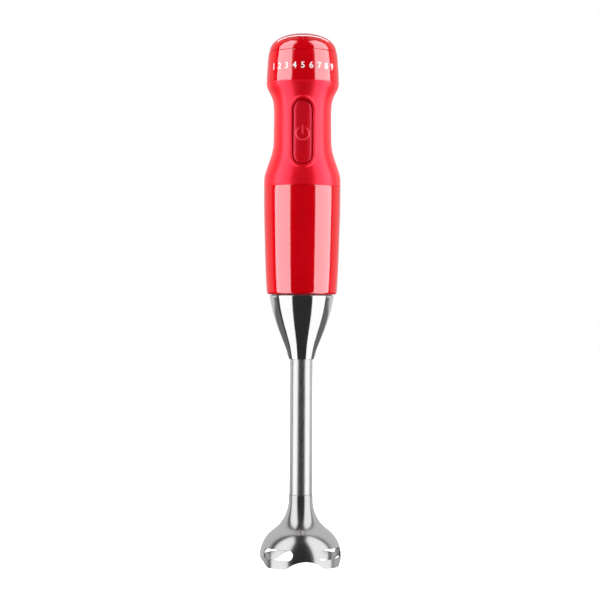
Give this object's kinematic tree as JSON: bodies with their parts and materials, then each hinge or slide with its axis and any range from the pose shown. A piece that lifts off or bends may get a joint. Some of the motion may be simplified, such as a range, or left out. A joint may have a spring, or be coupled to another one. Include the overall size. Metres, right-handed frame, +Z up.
{
  "type": "immersion blender",
  "caption": "Hand-held stick blender: motor handle with speed dial and long power button, twist-off steel blending arm, and a slotted steel bell guard over the blade.",
  "frame": {"origin": "floor level on the drive axis, under the middle of the bell", "axes": "+Z up along the drive axis to the dial, -Y out of the power button, +Y out of the cord gland"},
  "size_m": [0.063, 0.063, 0.41],
  "materials": {
    "gloss_red_shell": "moulded gloss",
    "soft_red_grip": "soft-touch satin",
    "red_button": "satin",
    "polished_stainless": "polished",
    "ground_blade_steel": "ground",
    "shaft_steel": "ground",
    "black_nylon": "moulded",
    "grey_nylon": "moulded",
    "white_acetal": "moulded",
    "black_rubber": "matt",
    "grey_silicone": "matt",
    "bronze_bush": "sintered",
    "copper_winding": "enamelled",
    "lamination_steel": "varnished",
    "carbon": "pressed carbon",
    "brass_fitting": "turned",
    "zinc_steel": "zinc plated",
    "green_board": "solder mask",
    "board_parts": "moulded",
    "finned_aluminium": "extruded"
  },
  "bodies": {
    "motor_body": {"motor_sleeve": "gloss_red_shell", "grip_sleeve": "soft_red_grip", "top_collar": "gloss_red_shell", "chassis_front": "grey_nylon", "chassis_rear": "grey_nylon", "chassis_screws": "zinc_steel", "socket_ring": "black_nylon", "stator_core": "lamination_steel", "field_coils": "copper_winding", "motor_lower_bracket": "finned_aluminium", "motor_upper_bracket": "finned_aluminium", "lower_bearing": "shaft_steel", "upper_bearing": "shaft_steel", "motor_bolts": "zinc_steel", "brush_holders": "brass_fitting", "carbon_brushes": "carbon", "brush_springs": "shaft_steel", "motor_damper_lower": "black_rubber", "motor_damper_upper": "black_rubber", "speed_pot": "board_parts", "pot_nut": "brass_fitting", "top_plate": "black_nylon", "top_plate_screws": "zinc_steel", "detent_spring": "shaft_steel", "button_springs": "shaft_steel", "switch_bracket": "black_nylon", "microswitch": "board_parts", "control_board": "green_board", "board_components": "board_parts", "triac_heatsink": "finned_aluminium", "cord_gland": "black_rubber", "cord_clamp": "black_nylon", "cord_clamp_screws": "zinc_steel"},
    "speed_dial": {"speed_dial": "gloss_red_shell", "dial_hub": "black_nylon", "pot_shaft": "brass_fitting"},
    "power_button": {"power_button": "red_button", "button_plunger": "white_acetal"},
    "rotor": {"motor_shaft": "shaft_steel", "armature_core": "lamination_steel", "armature_windings": "copper_winding", "commutator": "brass_fitting", "cooling_fan": "black_nylon", "drive_coupling": "white_acetal"},
    "arm_bearings": {"arm_upper_bush": "bronze_bush", "arm_lower_bush": "bronze_bush"},
    "drive_shaft": {"drive_shaft": "shaft_steel", "driven_coupling": "black_nylon"},
    "blade": {"blade": "ground_blade_steel", "blade_spindle": "shaft_steel", "blade_nut": "ground_blade_steel"},
    "blending_arm": {"arm_cone": "polished_stainless", "arm_tube": "polished_stainless", "arm_collar": "black_nylon", "tube_ferrule": "grey_nylon", "arm_gasket": "grey_silicone"},
    "bell_bearings": {"bell_bush": "bronze_bush", "shaft_seal": "black_rubber"},
    "bell": {"bell_guard": "polished_stainless", "bell_insert": "grey_nylon"}
  },
  "joints": [
    {"name": "speed_dial_turn", "type": "hinge", "parent": "motor_body", "child": "speed_dial", "pos_m": [0, 0, 0.3951], "axis": [0, 0, 1], "range_deg": [-50, 50]},
    {"name": "power_button_press", "type": "slide", "parent": "motor_body", "child": "power_button", "axis": [0, 1, 0], "range_m": [0, 0.0025], "stiffness_N_per_m": 800, "springref_m": -0.003, "deforming": ["button_springs"]},
    {"name": "motor_spin", "type": "hinge", "parent": "motor_body", "child": "rotor", "pos_m": [0, 0, 0.27], "axis": [0, 0, 1], "continuous": true},
    {"name": "arm_pull", "type": "slide", "parent": "motor_body", "child": "arm_bearings", "axis": [0, 0, -1], "range_m": [0, 0.05]},
    {"name": "shaft_spin", "type": "hinge", "parent": "arm_bearings", "child": "drive_shaft", "pos_m": [0, 0, 0.15], "axis": [0, 0, 1], "continuous": true},
    {"name": "arm_twist", "type": "hinge", "parent": "arm_bearings", "child": "blending_arm", "pos_m": [0, 0, 0.2085], "axis": [0, 0, 1], "range_deg": [0, 30]},
    {"name": "bell_pull", "type": "slide", "parent": "blending_arm", "child": "bell_bearings", "axis": [0, 0, -1], "range_m": [0, 0.02]},
    {"name": "bell_twist", "type": "hinge", "parent": "bell_bearings", "child": "bell", "pos_m": [0, 0, 0.054], "axis": [0, 0, 1], "range_deg": [0, 30]},
    {"name": "blade_pull", "type": "slide", "parent": "drive_shaft", "child": "blade", "axis": [0, 0, -1], "range_m": [0, 0.02]}
  ],
  "couplings": [
    {"joint": "shaft_spin", "follows": "motor_spin", "ratio": 1},
    {"joint": "blade_pull", "follows": "bell_pull", "ratio": 1}
  ]
}
